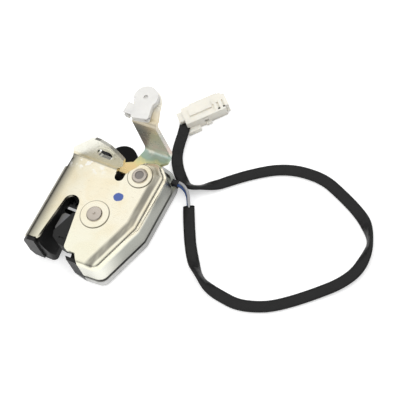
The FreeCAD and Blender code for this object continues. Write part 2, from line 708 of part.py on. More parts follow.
def claw_core_shape(body, name, make_slab, make_disc):
    """The steel fork's outline, added to one body and cut from the other."""
    make_disc(body, name + "_hub", "core_low", "core_high", "claw_x", "claw_y", "hub_round - 1.2")
    make_slab(body, name + "_hook", "core_low", "core_high", core_hook)
    make_slab(body, name + "_tail", "core_low", "core_high", core_tail)


cover = new_body("claw_cover")
slab(cover, "cover_outline", "claw_low", "claw_high", [
    ("-3.2", "5.3"), ("-1.9", "8"), ("1.6", "11.2"), ("8.25", "13.73"), ("11.75", "14.85"),
    ("15.3", "15.3"), ("18.84", "14.96"), ("22.1", "13.9"), ("24.6", "5"), ("24", "-8"),
    ("20", "-14"), ("15", "-20"), ("12", "-24"), ("7", "-25"), ("3.2", "-24.3"),
    ("-1.6", "-21.6"), ("-2.9", "-18"), ("2.2", "-4.27"), ("0", "4.75")])
disc(cover, "cover_hub", "claw_low", "claw_high", "claw_x", "claw_y", "hub_round")
bore(cover, "cover_seat", "claw_low - 1", "claw_high + 1", "0", "0", "seat_round")
round_edges(cover, "cover_tips", "1.6", upright(("3.2", "-24.3"), ("-1.6", "-21.6"), ("-2.9", "-18"),
                                               ("12", "-24"), ("-1.9", "8"), ("22.1", "13.9")))
claw_core_shape(cover, "cavity", clear, bore)
bore(cover, "cover_bore", "claw_low - 1", "claw_high + 1", "claw_x", "claw_y",
     "pin_body + run_gap + bush_wall")
bore(cover, "spring_well", "coil_floor", "claw_high + 1", "claw_x", "claw_y",
     "coil_round + coil_wire + 0.3")
disc(cover, "spring_well_hub", "coil_floor - 0.2", "claw_high", "claw_x", "claw_y",
     "coil_round - coil_wire - 0.3")
bore(cover, "cover_bore_end", "claw_low - 1", "claw_high + 1", "claw_x", "claw_y",
     "pin_body + run_gap + bush_wall + 0.001")
clear(cover, "spring_leg_groove", "coil_floor", "claw_high + 1", [
    ("19.8", "5.83"), ("19.32", "4.51"), ("25.34", "2.32"), ("25.82", "3.64")])
clear(cover, "cover_mark", "claw_high - 0.6", "claw_high + 1", corners("2", "-21.2", "5.6", "-20.2"))

core = new_body("claw_core")
claw_core_shape(core, "core", slab, disc)
bore(core, "core_bore", "core_low - 1", "core_high + 1", "claw_x", "claw_y",
     "pin_body + run_gap + bush_wall")


def ring(label, x, y, inner, outer, low, high):
    """A plain ring about an upright axis."""
    return turned(label, x, y, [(inner, low), (outer, low), (outer, high), (inner, high)])


ring("claw_bush", "claw_x", "claw_y", "pin_body + run_gap", "pin_body + run_gap + bush_wall",
     "claw_low", "claw_high")
ring("claw_washer", "claw_x", "claw_y", "pin_body + washer_gap", "washer_round",
     "chamber_floor", "chamber_floor + 0.65")
ring("pawl_washer", "pawl_x", "pawl_y", "pin_body + washer_gap", "washer_round",
     "pawl_high + 0.05", "lever_low - 0.05")


def pin(label, x, y, mark):
    """A shouldered rivet; the mark is the tool's print in its head."""
    top = "case_height + pad_rise"
    return turned(label, x, y, [
        ("0", "0"), ("pin_neck", "0"), ("pin_neck", "chamber_floor"), ("pin_body", "chamber_floor"),
        ("pin_body", "plate_under"), ("pin_neck", "plate_under"),
        ("pin_neck", top), ("head_round", top), ("head_round", f"{top} + 0.5"),
        ("head_round - 0.5", f"{top} + head_rise - 0.15"), ("head_round - 1.2", f"{top} + head_rise"),
        *mark(f"{top} + head_rise")])


pin("claw_pin", "claw_x", "claw_y", lambda top: [("0.9", top), ("0", f"{top} - 0.7")])
pin("pawl_pin", "pawl_x", "pawl_y",
    lambda top: [("flat_round", top), ("flat_round - 0.2", f"{top} - 0.35"), ("0", f"{top} - 0.35")])


def wire_section(middle, radius):
    """An eight-sided section of wire that faces along Y."""
    rim = [middle + Vector(radius * math.cos(turn), 0, radius * math.sin(turn))
           for turn in (math.radians(22.5 + 45 * index) for index in range(8))]
    return Part.Face(Part.makePolygon(rim + rim[:1]))


def coil(label, x, y, angle, radius, wire, low, pitch, legs):
    """A torsion spring of three half turns, each tilted to climb, with a straight leg at each end."""
    radius, wire, low, pitch = (value(text) for text in (radius, wire, low, pitch))
    lengths = []
    for index in range(3):
        side = 1 if index % 2 == 0 else -1
        start = Vector(side * radius, 0, low + index * pitch / 2)
        across = Vector(-2 * start.x, 0, pitch / 2)
        axis = across.cross(Vector(0, -side, 0))
        lengths.append(wire_section(start, wire).revolve(start + across / 2, axis, 180))
    ends = [Vector(radius, 0, low), Vector(-radius, 0, low + 1.5 * pitch)]
    for end, leg in zip(ends, legs):
        lengths.append(wire_section(end, wire).extrude(Vector(0, -leg, 0)))
    spring = doc.addObject("Part::Feature", label)
    spring.Label = label
    spring.Shape = lengths[0].multiFuse(lengths[1:]).Solids[0]
    place(spring, x, y, angle)
    return spring


SPRINGS = [
    coil("claw_spring", "claw_x", "claw_y", "70", "coil_round", "coil_wire",
         "coil_floor + coil_wire + 0.05", "2 * coil_wire + 0.1", (6, 20.6)),
    coil("pawl_spring", "pawl_x", "pawl_y", "12", "pawl_coil_round", "coil_wire + 0.05",
         "chamber_floor + coil_wire + 0.1", "2 * coil_wire + 0.25", (13, 16.6))]

# Pawl: steel lever with a damper on its arm.
pawl_edge = "claw_x + tail_round + pawl_gap"
pawl = new_body("pawl_plate")
disc(pawl, "pawl_eye_disc", "pawl_low", "pawl_high", "pawl_x", "pawl_y", "pawl_eye")
slab(pawl, "pawl_arm", "pawl_low", "pawl_high", [
    ("24.4", "25.5"), ("29", "14"), (pawl_edge, "6"), (pawl_edge, "-1.5"),
    (f"{pawl_edge} + pawl_tip", "-1.5"), ("35.6", "8"), ("37.4", "26")])
bore(pawl, "pawl_bore", "pawl_low - 1", "pawl_high + 1", "pawl_x", "pawl_y", "pin_body + run_gap")
damper = new_body("pawl_cover")
slab(damper, "damper_outline", "pawl_low - 1.5", "pawl_high + 0.6", [
    ("28.5", "12.6"), ("30", "5"), ("35.2", "5"), ("36.9", "17"), ("36.2", "18"), ("27.4", "16")])
clear(damper, "damper_pocket", "pawl_low", "pawl_high", [
    ("24.4", "25.5"), ("29", "14"), (pawl_edge, "6"), (pawl_edge, "-1.5"),
    (f"{pawl_edge} + pawl_tip", "-1.5"), ("35.6", "8"), ("37.4", "26")])

# Release lever: foot on the pawl pin, riser, and an end with an eye.
lever = new_body("release_lever")
foot_top = "lever_low + lever_wall"
slab(lever, "lever_foot", "lever_low", foot_top, [
    ("pawl_x - 15", "pawl_y - 0.4"), ("pawl_x - 15.2", "pawl_y + 2"), ("pawl_x - 14", "pawl_y + 6"),
    ("pawl_x - 9.6", "pawl_y + 8"), ("lever_left - 0.9", "lever_turn - 3.8"),
    ("lever_left", "lever_turn"), ("lever_right", "lever_turn"), ("lever_right", "lever_turn - 1.9"),
    ("lever_right - 3.8", "lever_turn - 5.5"), ("pawl_x + 7.1", "pawl_y + 6.2"), ("pawl_x + 5", "pawl_y"),
    ("pawl_x - 8.4", "pawl_y - 1.8"), ("pawl_x - 9.2", "pawl_y - 0.5")])
disc(lever, "lever_hub", "lever_low", foot_top, "pawl_x", "pawl_y", "lever_eye")
bend(lever, "lever_root", "lever_left", "lever_right", "lever_low", foot_top,
     f"{foot_top} + lever_bend", "lever_turn", "90")
riser_front = "lever_turn + lever_bend"
riser_low = f"{foot_top} + lever_bend"
riser_high = "lever_high - lever_wall - lever_bend"
riser = sketch_on(lever, "riser", "XZ_Plane", f"-({riser_front})")
polygon(riser, [("lever_left", riser_low), ("lever_right", riser_low),
                ("lever_right - 1.5", riser_high), ("lever_left - 0.4", riser_high)])
pad(lever, "riser_pad", riser, "lever_wall", back=True)
end_bend = f"{riser_front} + lever_wall + lever_bend"
bend(lever, "lever_end", "lever_left - 0.4", "lever_right - 1.5", riser_front,
     f"{riser_front} + lever_wall", end_bend, riser_high, "90", "XY_Plane")
slab(lever, "lever_end_plate", "lever_high - lever_wall", "lever_high", [
    ("lever_left - 0.4", end_bend), ("lever_right - 1.5", end_bend), ("eye_x + 9.6", "eye_y - 4"),
    ("eye_x + 7.6", "eye_y + 2.6"), ("eye_x", "eye_y + 3"), ("eye_x - 7.6", "eye_y - 2.4")])
disc(lever, "lever_eye_disc", "lever_high - lever_wall", "lever_high", "eye_x", "eye_y", "eye_round")
bore(lever, "lever_pin_hole", "lever_low - 1", f"{foot_top} + 1", "pawl_x", "pawl_y",
     "pin_body + run_gap")
bore(lever, "lever_clip_hole", "lever_high - 5", "lever_high + 1", "eye_x", "eye_y", "stud_round")

# Rod clip and its lock.
clip_low = "lever_high + 0.3"
clip_top = "lever_high + 0.3 + clip_rise"
clip = new_body("rod_clip")
disc(clip, "clip_disc", clip_low, clip_top, "eye_x", "eye_y", "clip_round")
arm_left = ("eye_x - 2.34", "eye_y - 14.57")
arm_right = ("eye_x + 7.94", "eye_y - 12.43")
slab(clip, "clip_arm", clip_low, clip_top, [
    ("eye_x - 5.14", "eye_y - 1.07"), arm_left, arm_right, ("eye_x + 5.14", "eye_y + 1.07")])
disc(clip, "clip_stud", "lever_high - lever_wall - 0.4", "lever_high + 1", "eye_x", "eye_y",
     "stud_round - run_gap")
disc(clip, "clip_barb", "lever_high - lever_wall - 1.9", "lever_high - lever_wall - 0.2", "eye_x", "eye_y",
     "stud_round + 0.6")
round_edges(clip, "clip_arm_ends", "1.2", upright(arm_left, arm_right))
bore(clip, "clip_dimple", f"{clip_top} - 1.4", f"{clip_top} + 1", "eye_x", "eye_y", "1.4")
clear(clip, "clip_slit", f"{clip_top} - 1.6", f"{clip_top} + 1", [
    ("eye_x - 7.6", "eye_y - 3.4"), ("eye_x - 5.6", "eye_y - 3.4"),
    ("eye_x - 5.6", "eye_y - 2.2"), ("eye_x - 7.6", "eye_y - 2.2")])
lock = new_body("rod_clip_lock")
slab(lock, "lock_top", clip_low, f"{clip_top} - 0.4", [
    ("eye_x - 8.2", "eye_y - 12.8"), ("eye_x - 2.72", "eye_y - 12.75"),
    ("eye_x - 4.1", "eye_y - 6.1"), ("eye_x - 8.2", "eye_y - 6")])
slab(lock, "lock_side", "lever_high - 2", f"{clip_low} + 0.5",
     corners("eye_x - 8.2", "eye_y - 12.8", "eye_x - 5.4", "eye_y - 8"))
for piece, name in ((clip, "clip_rod_hole"), (lock, "lock_rod_hole")):
    side = sketch_on(piece, name, "YZ_Plane", "10")
    circle(side, "rod_y", f"{clip_low} + clip_rise / 2", "rod_round")
    cut(piece, name + "_cut", side, "40")

# Lamp switch.
switch = new_body("switch_case")
slab(switch, "switch_block", "chamber_floor", "switch_top", corners("5", "switch_bottom_y", "20", "dome_y"))
disc(switch, "switch_dome", "chamber_floor", "switch_top", "dome_x", "dome_y", "dome_round")
button_level = "(chamber_floor + switch_top) / 2"
button_hole = sketch_on(switch, "button_hole", "XZ_Plane", "-(switch_bottom_y - 1)")
circle(button_hole, "button_x", button_level, "button_round + run_gap")
cut(switch, "button_hole_cut", button_hole, "8", along=False)
button = new_body("switch_button")
button_end = sketch_on(button, "button_end", "XZ_Plane", "-(switch_bottom_y - button_reach)")
circle(button_end, "button_x", button_level, "button_round")
pad(button, "button_pad", button_end, "button_reach + 5", back=True)
round_edges(button, "button_tip", "0.8", lambda edge: edge.BoundBox.YMax < value(
    "switch_bottom_y - button_reach") + 0.01)
contacts = new_body("switch_contacts")
for name, low in (("contact_a", "18.6"), ("contact_b", "22.6")):
    slab(contacts, name, "chamber_floor + 2.2", "switch_top - 2.4",
         corners("20", low, "23.2", f"{low} + 0.8"))

# Grommet in the pan's rim.
grommet = new_body("wire_grommet")
slab(grommet, "grommet_block", "grommet_low", "grommet_low + 3.9",
     corners("grommet_left", "grommet_bottom", "grommet_left + 4.4", "grommet_top"))
round_edges(grommet, "grommet_top_round", "0.9",
            lambda edge: edge.BoundBox.ZMin > value("grommet_low + 3.9") - 0.01)

# Connector: a two-way housing lying flat.
half = "plug_length / 2"
side_y = "plug_width / 2"
plug = new_body("connector_body")
slab(plug, "plug_block", "0", "plug_height", corners(f"-{half}", f"-{side_y}", half, side_y))
round_edges(plug, "plug_long_edges", "1", lambda edge: edge.BoundBox.XLength > value("plug_length") - 1)
slab(plug, "plug_ridge", "plug_height - 0.5", "plug_height + 1.1", corners("-10", "-1.2", "4", "1.2"))
for name, row in (("left", "way_y"), ("right", "-way_y")):
    mouth = sketch_on(plug, f"{name}_mouth", "YZ_Plane", half)
    polygon(mouth, corners(f"{row} - 1.7", "2.4", f"{row} + 1.7", "5.8"))
    cut(plug, f"{name}_mouth_cut", mouth, "plug_length - 8", along=False)
    keyway = sketch_on(plug, f"{name}_keyway", "YZ_Plane", half)
    polygon(keyway, corners(f"{row} - 1.4", "6.6", f"{row} + 1.4", "7.7"))
    cut(plug, f"{name}_keyway_cut", keyway, "6", along=False)
    window = sketch_on(plug, f"{name}_window", lift="6.6")
    polygon(window, corners("8.2", f"{row} - 1.1", "10.4", f"{row} + 1.1"))
    cut(plug, f"{name}_window_cut", window, "4")
    entry = sketch_on(plug, f"{name}_entry", "YZ_Plane", f"-{half}")
    circle(entry, row, "4.1", "wire_round + 0.35")
    cut(plug, f"{name}_entry_cut", entry, "9")
clear(plug, "retainer_slot", "3.5", "plug_height - 1.5",
      corners("-2", f"-{side_y} - 1", "0.6", f"{side_y} + 1"))
place(plug, "plug_x", "plug_y", "plug_turn")
retainer = new_body("connector_retainer")
slab(retainer, "retainer_bar", "5.85", "plug_height - 1.5", corners("-2", f"-{side_y}", "0.6", side_y))
place(retainer, "plug_x", "plug_y", "plug_turn")
terminals = new_body("connector_terminals")
for name, row in (("terminal_a", "way_y"), ("terminal_b", "-way_y")):
    slab(terminals, name, "2.4", "5.8", corners("1", f"{row} - 1.7", "9", f"{row} + 1.7"))
for name, row in (("socket_a", "way_y"), ("socket_b", "-way_y")):
    hole = sketch_on(terminals, name, "YZ_Plane", "9")
    polygon(hole, corners(f"{row} - 1.2", "2.9", f"{row} + 1.2", "5.3"))
    cut(terminals, name + "_cut", hole, "6", along=False)
place(terminals, "plug_x", "plug_y", "plug_turn")


# Lead: two wires and their sleeve, each a run of straight lengths joined by arcs.
def path_wire(points):
    """A path through rounded corners, and the arcs' radii."""
    places = [Vector(*point) for point in points]
    edges, radii = [], []
    start = places[0]
    for before, corner, after in zip(places, places[1:], places[2:]):
        back, ahead = before - corner, after - corner
        turn = math.pi - back.getAngle(ahead)
        radius = 0.45 * min(back.Length, ahead.Length) / math.tan(turn / 2)
        reach = radius * math.tan(turn / 2)
        back.normalize()
        ahead.normalize()
        middle_way = back + ahead
        middle_way.normalize()
        centre = corner + middle_way * (radius / math.cos(turn / 2))
        enter, leave = corner + back * reach, corner + ahead * reach
        edges.append(Part.LineSegment(start, enter).toShape())
        edges.append(Part.Arc(enter, centre - middle_way * radius, leave).toShape())
        start = leave
        radii.append(radius)
    edges.append(Part.LineSegment(start, places[-1]).toShape())
    return Part.Wire(edges), radii


def cord(label, points, radius_name):
    """A round cord along the points."""
    path, radii = path_wire(points)
    radius = value(radius_name)
    first = Vector(*points[0])
    section = Part.Wire([Part.Circle(first, Vector(*points[1]) - first, radius).toShape()])
    shell = Part.BRepOffsetAPI.MakePipeShell(path)
    shell.setFrenetMode(False)
    shell.add(section)
    shell.build()
    shell.makeSolid()
    piece = doc.addObject("Part::Feature", label)
    piece.Label = label
    piece.Shape = shell.shape()
    expected = math.pi * radius ** 2 * path.Length
    print(label, "length", round(path.Length, 1), "radii", [round(item, 1) for item in radii],
          "volume ratio", round(piece.Shape.Volume / expected, 3))
    return piece


SLEEVE_POINTS = [
    (56.2, 31.4), (61.9, 20.8), (70.5, 6.4), (79.3, -3.6), (89, -9.9), (99.8, -11.6),
    (110.3, -12.8), (122.3, -9.4), (130.7, -5), (141, 3.2), (150.9, 12.3), (159.3, 20.6),
    (165, 30.5), (165.6, 41.3), (164.3, 51), (155.6, 60.9), (146.3, 66.6), (135.2, 71.7),
    (123.2, 76.6), (110.2, 76.9), (101, 75.3), (91.8, 71.7), (81.1, 64.6), (72.5, 57.6),
    (63.5, 49.2), (55, 43.5), (48.5, 42.6), (44, 46.5), (38.5, 52), (33.8, 59), (31.3, 67),
    (29.6, 75), (27.6, 81.2)]
SLEEVE_Z = 2.75
GREY_POINTS = [
    (42.9, 41.3, 7), (45.7, 42, 7.5), (50.7, 40, 8), (54, 37.1, 7.5), (56, 32.3, 3.6),
    (62.7, 21.3, 2.75), (67.5, 13.2, 2.8)]
BLUE_POINTS = [
    (42.9, 39.5, 7), (45.2, 40.2, 7.5), (49.3, 38.7, 8), (52.3, 35.9, 7.5), (54.3, 31.2, 3.6),
    (61.1, 20.3, 2.75), (65.9, 12.2, 2.8)]
CORDS = [cord("wire_sleeve", [(x, y, SLEEVE_Z) for x, y in SLEEVE_POINTS], "sleeve_round"),
         cord("wire_grey", GREY_POINTS, "wire_round"),
         cord("wire_blue", BLUE_POINTS, "wire_round")]

doc.recompute()
for item in doc.Objects:
    if "Invalid" in item.State or "Error" in item.State:
        raise RuntimeError(item.Name + " has not been made")
NODES = [item for item in doc.Objects
         if item.TypeId == "PartDesign::Body" and not item.Label.endswith("_core_tool")]
NODES += SPRINGS + CORDS
for item in NODES:
    if item.Shape.isNull() or not item.Shape.isValid():
        raise RuntimeError(item.Label + " has no good shape")
    item.Shape.exportStep(f"parts/{item.Label}.step")
    box = item.Shape.BoundBox
    print(item.Label, len(item.Shape.Solids), round(item.Shape.Volume),
          [round(number, 1) for number in (box.XMin, box.XMax, box.YMin, box.YMax, box.ZMin, box.ZMax)])
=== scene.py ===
import math

import bmesh
import bpy
from bpy.props import FloatProperty, FloatVectorProperty, PointerProperty
from mathutils import Matrix, Vector


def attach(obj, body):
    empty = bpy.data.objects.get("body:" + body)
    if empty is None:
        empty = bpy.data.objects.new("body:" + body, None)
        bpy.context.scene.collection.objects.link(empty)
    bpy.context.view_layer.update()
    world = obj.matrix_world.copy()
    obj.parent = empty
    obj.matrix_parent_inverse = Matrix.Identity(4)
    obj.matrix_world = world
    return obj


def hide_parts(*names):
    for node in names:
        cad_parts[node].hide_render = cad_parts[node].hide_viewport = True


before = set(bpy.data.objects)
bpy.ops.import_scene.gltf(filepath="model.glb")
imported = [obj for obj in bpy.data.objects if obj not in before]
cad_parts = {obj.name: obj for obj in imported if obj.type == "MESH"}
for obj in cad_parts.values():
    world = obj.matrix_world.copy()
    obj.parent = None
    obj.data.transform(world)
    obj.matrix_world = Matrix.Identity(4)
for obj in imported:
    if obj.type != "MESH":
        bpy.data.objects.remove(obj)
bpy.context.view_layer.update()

bl_info = {
    "name": "Trunk lock looks",
    "version": (1, 0, 0),
    "blender": (4, 5, 0),
    "location": "3D View > Sidebar > Trunk lock",
    "description": "Finishes, lead and stage for a rotary trunk lock",
    "category": "Object",
}

MILLIMETRE = 0.001


def grey(level):
    return (level, level, level)


# Where the camera stands and looks, and its right hand, in the lock's frame.
CAMERA_AT = Vector((0.40853, -0.25978, 0.79659))
CAMERA_TO = Vector((0.06657, 0.03247, 0.01707))
CAMERA_RIGHT = Vector((0.869, 0.454, -0.211))
CAMERA_LENS_MM = 141.75
CAMERA_REACH = 20

FLOOR_HALF_SIDE = 4
FLOOR_MIDDLE = (0.07, 0.03, -0.0001)
FLOOR_COLOUR = grey(0.82)
# What the floor adds to its own light where it is seen, and how much of that a gloss shows.
FLOOR_GLOW = grey(0.42)
FLOOR_IN_GLOSS = 0.5

# Each lamp's name, place, size and power in watts.
LAMPS = (
    ("key", (0.30, 0.45, 1.05), (1.1, 0.8), 3.9),
    ("fill", (-0.65, -0.45, 0.85), (1.0, 0.7), 2.8))

SKY_ROUND = grey(0.04)
SKY_FRONT = grey(0.45)
SKY_TOP = grey(1.0)

CLAW_PIN = (0.0171, -0.0016)
PAWL_PIN = (0.0304, 0.0298)
# The pressed rings round the pins: centre and radius.
PLATE_RINGS = ((CLAW_PIN, 0.0087), (PAWL_PIN, 0.0075))
# The height of the front plate's face, and of the lower edge of its flange.
PLATE_FACE = 0.0260
FLANGE_EDGE = 0.0079
# The front plate's outline on its right, as lines: direction outwards and distance.
RIGHT_OUTLINE = ((1, 0, 0.0442), (0.946, -0.3234, 0.04182), (0.7071, 0.7071, 0.05636))
# The inspector's dot of paint: middle and half of its width and height.
DOT_AT = (0.0249, 0.0133)
DOT_REACH = (0.0030, 0.0026)

# Tones of the front plate: second colour, lower end, left arm, painted reflection on the bent
# sides and the ear, painted dark reflection on the right flange and the bends, painted highlight
# at the ear's root, painted shade along the flange's edge and the painted shade line round a ring.
STRAW = (0.95, 0.86, 0.64)
LOWER_TONE = (0.95, 0.95, 0.78)
LEFT_TONE = (0.58, 0.52, 0.36)
SILVER_PAINTED_REFLECTION = (0.88, 0.88, 0.80)
RIGHT_DARK_PAINTED_REFLECTION = (0.29, 0.30, 0.27)
BEND_DARK_PAINTED_REFLECTION = (0.21, 0.20, 0.17)
EAR_ROOT_PAINTED_HIGHLIGHT = (1.0, 0.99, 0.95)
GAP_PAINTED_SHADE = grey(0.03)
RING_PAINTED_SHADE = (0.16, 0.14, 0.10)

PAN_SHADE = (0.56, 0.56, 0.55)
PAN_RIGHT_DARKENING = (0.36, 0.36, 0.35)

# The release lever's colours along it, from its foot to its eye, and where that way starts
# and how long it is, both as Y + Z.
LEVER_START = 0.0494
LEVER_RUN = 0.080
# The teal stops at 0.22 and 0.26 are a painted dark reflection on the lower bend, the pale stop at
# 0.30 a painted highlight.
LEVER_STOPS = (
    (0.00, (0.84, 0.66, 0.33)), (0.12, (0.88, 0.66, 0.33)), (0.17, (0.76, 0.70, 0.34)),
    (0.22, (0.34, 0.46, 0.34)), (0.26, (0.40, 0.52, 0.46)), (0.30, (0.86, 0.84, 0.72)),
    (0.36, (0.78, 0.62, 0.54)), (0.44, (0.64, 0.58, 0.52)), (0.56, (0.52, 0.53, 0.48)),
    (0.64, (0.66, 0.62, 0.54)), (0.76, (0.76, 0.66, 0.46)), (0.90, (0.96, 0.94, 0.86)))

# Plastics inside the case: name, colour, roughness, grains per metre, their depth, gloss, nodes.
CASE_PLASTICS = (
    ("black_moulding", grey(0.008), 0.42, 1500, 0.00003, 0.35, ("housing",)),
    ("claw_cover", grey(0.013), 0.5, 1800, 0.00004, 0.3, ("claw_cover", "pawl_cover")),
    ("switch_black", grey(0.003), 0.4, 1200, 0.00002, 0.12, ("switch_case", "switch_button")),
    ("bush_acetal", (0.72, 0.70, 0.62), 0.4, 1500, 0.00001, 0.5, ("claw_bush",)))
# Metals inside the case: name, colour, second colour, roughness, nodes.
CASE_METALS = (
    ("dark_steel", (0.20, 0.20, 0.21), (0.13, 0.13, 0.14), 0.38, ("claw_core", "pawl_plate")),
    ("washer_steel", (0.62, 0.61, 0.59), (0.50, 0.49, 0.47), 0.35, ("claw_washer", "pawl_washer")),
    ("spring_wire", (0.42, 0.42, 0.43), (0.34, 0.34, 0.35), 0.3, ("claw_spring", "pawl_spring")),
    ("contact_brass", (0.78, 0.62, 0.32), (0.66, 0.52, 0.28), 0.3, ("switch_contacts",)))

# The lead's route, from the case round the loop to the connector.
SLEEVE_ROUTE = [
    (.0562, .0314, .0030), (.0619, .0208, .0030), (.0705, .0064, .0020), (.0793, -.0036, .0017),
    (.0890, -.0099, .0016), (.0998, -.0116, .0016), (.1103, -.0128, .0016), (.1223, -.0094, .0016),
    (.1307, -.0050, .0016), (.1410, .0032, .0017), (.1509, .0123, .0020), (.1593, .0206, .0028),
    (.1650, .0305, .0034), (.1656, .0413, .0034), (.1643, .0510, .0026), (.1556, .0609, .0018),
    (.1463, .0666, .0016), (.1352, .0717, .0016), (.1232, .0766, .0016), (.1102, .0769, .0016),
    (.1010, .0753, .0016), (.0918, .0717, .0016), (.0811, .0646, .0016), (.0725, .0576, .0016),
    (.0635, .0492, .0018), (.0550, .0435, .0022), (.0482, .0428, .0026), (.0428, .0468, .0026),
    (.0376, .0520, .0022), (.0331, .0590, .0022), (.0311, .0670, .0028), (.0303, .0740, .0036),
    (.0289, .0795, .0042)]
GREY_ROUTE = [
    (.0429, .0413, .0070), (.0457, .0420, .0075), (.0507, .0400, .0080), (.0540, .0371, .0075),
    (.0560, .0323, .0036), (.0627, .0213, .0029), (.0675, .0132, .0028)]
BLUE_ROUTE = [
    (.0429, .0395, .0070), (.0452, .0402, .0073), (.0496, .0391, .0068), (.0529, .0369, .0056),
    (.0551, .0326, .0026), (.0611, .0203, .0029), (.0659, .0122, .0028)]
WIRES = (
    ("wire_grey_lead", "wire_grey", GREY_ROUTE, (0.44, 0.44, 0.45)),
    ("wire_blue_lead", "wire_blue", BLUE_ROUTE, (0.04, 0.09, 0.26)))

# Where the sleeve stands on its edge: share of its length, reach and turn in degrees.
SLEEVE_EDGES = ((0.135, 0.028, 62), (0.485, 0.032, 62), (0.858, 0.028, -58))
# Its waves: height as a share of its thickness, turn from ring to ring, and start.
SLEEVE_WAVES = ((0.06, 0.9, 0), (0.05, 0.37, 1.3))
SLEEVE_STEP = 0.0015
SLEEVE_SIDES = 24

# The connector's housing, in mm from its middle: the blocks it is made of, then what is cut out.
PLUG_BLOCKS = (
    ((-12.8, -5.7, 0.0), (12.8, 6.2, 9.0)), ((-13.8, -8.5, 0.0), (-5.5, -5.6, 3.4)),
    ((-1.5, -7.0, 0.8), (3.0, -5.6, 3.0)), ((-7.3, 6.1, 5.0), (10.7, 7.0, 8.8)),
    ((-9.0, -1.7, 8.9), (5.2, 3.4, 10.2)), ((-16.2, -1.9, 1.0), (-12.7, 4.7, 8.0)),
    ((12.7, -3.8, 0.8), (14.9, 4.8, 8.8)))
PLUG_CUTS = (
    ((-2.0, -7.2, 3.5), (0.6, 7.2, 7.5)), ((2.0, -7.0, -1.0), (15.5, -4.9, 3.6)),
    ((5.5, -4.6, 8.3), (6.6, 0.2, 9.6)), ((8.3, -3.2, 8.0), (9.5, 0.6, 9.6)),
    ((11.7, -3.2, 8.0), (12.6, 1.0, 9.6)), ((8.2, -4.6, 6.0), (9.6, -3.1, 9.6)),
    ((11.5, -4.5, 6.0), (12.6, -3.1, 9.6)), ((-2.7, -4.5, 2.4), (16.0, -1.2, 5.8)),
    ((-2.7, 1.2, 2.4), (16.0, 4.5, 5.8)))
PLUG_ROUNDING = 0.0004
# The middles of the two pits in its top, in the lock's frame, whose insides get painted shade.
PLUG_PITS = ((0.04525, 0.09456), (0.04734, 0.09692))
PLUG_AT = Matrix.Translation((0.0364, 0.0906, 0)) @ Matrix.Rotation(math.radians(47.5), 4, "Z")


class Value:
    """A socket of a node tree; sums and products of values add their Math nodes."""

    def __init__(self, nodes, socket):
        self.nodes = nodes
        self.socket = socket

    def combine(self, operation, first, second):
        return self.nodes.add("ShaderNodeMath", {"operation": operation}, [first, second])

    def __add__(self, other):
        return self.combine("ADD", self, other)

    def __sub__(self, other):
        return self.combine("SUBTRACT", self, other)

    def __rsub__(self, other):
        return self.combine("SUBTRACT", other, self)

    def __mul__(self, other):
        return self.combine("MULTIPLY", self, other)

    def __truediv__(self, other):
        return self.combine("DIVIDE", self, other)

    __radd__ = __add__
    __rmul__ = __mul__

    def most(self, other):
        return self.combine("MAXIMUM", self, other)

    def ramp(self, start, end, low=0.0, high=1.0):
        """Rise smoothly from low to high as the value goes from start to end."""
        return self.nodes.add("ShaderNodeMapRange", {"interpolation_type": "SMOOTHSTEP"},
                              [self, start, end, low, high])


class Nodes:
    """A node tree and the ways to add to it."""

    def __init__(self, tree):
        self.tree = tree

    def feed(self, socket, source):
        if isinstance(source, Value):
            self.tree.links.new(source.socket, socket)
        elif hasattr(source, "__len__") and socket.type == "RGBA":
            socket.default_value = (*source[:3], 1)
        else:
            socket.default_value = source

    def node(self, kind, settings, inputs):
        """Add a node; the settings come first, then its sockets by place or by name."""
        node = self.tree.nodes.new(kind)
        for name, setting in settings.items():
            if name == "stops":
                self.set_stops(node.color_ramp, setting)
            else:
                setattr(node, name, setting)
        pairs = inputs.items() if isinstance(inputs, dict) else enumerate(inputs)
        for key, source in pairs:
            self.feed(node.inputs[key], source)
        return node

    def add(self, kind, settings, inputs, out=0):
        """Add a node and give one of its outputs as a value."""
        return Value(self, self.node(kind, settings, inputs).outputs[out])

    @staticmethod
    def set_stops(ramp, stops):
        while len(ramp.elements) < len(stops):
            ramp.elements.new(1)
        for element, (place, colour) in zip(ramp.elements, stops):
            element.position = place
            element.color = (*colour, 1)

    def coordinates(self, kind):
        return self.add("ShaderNodeTexCoord", {}, [], out=kind)

    def part(self, vector, axis):
        """One coordinate of a vector."""
        return self.add("ShaderNodeSeparateXYZ", {}, [vector], out=axis)

    def mix(self, factor, first, second):
        """A colour between two colours."""
        return self.add("ShaderNodeMix", {"data_type": "RGBA"}, {0: factor, 6: first, 7: second},
                        out=2)


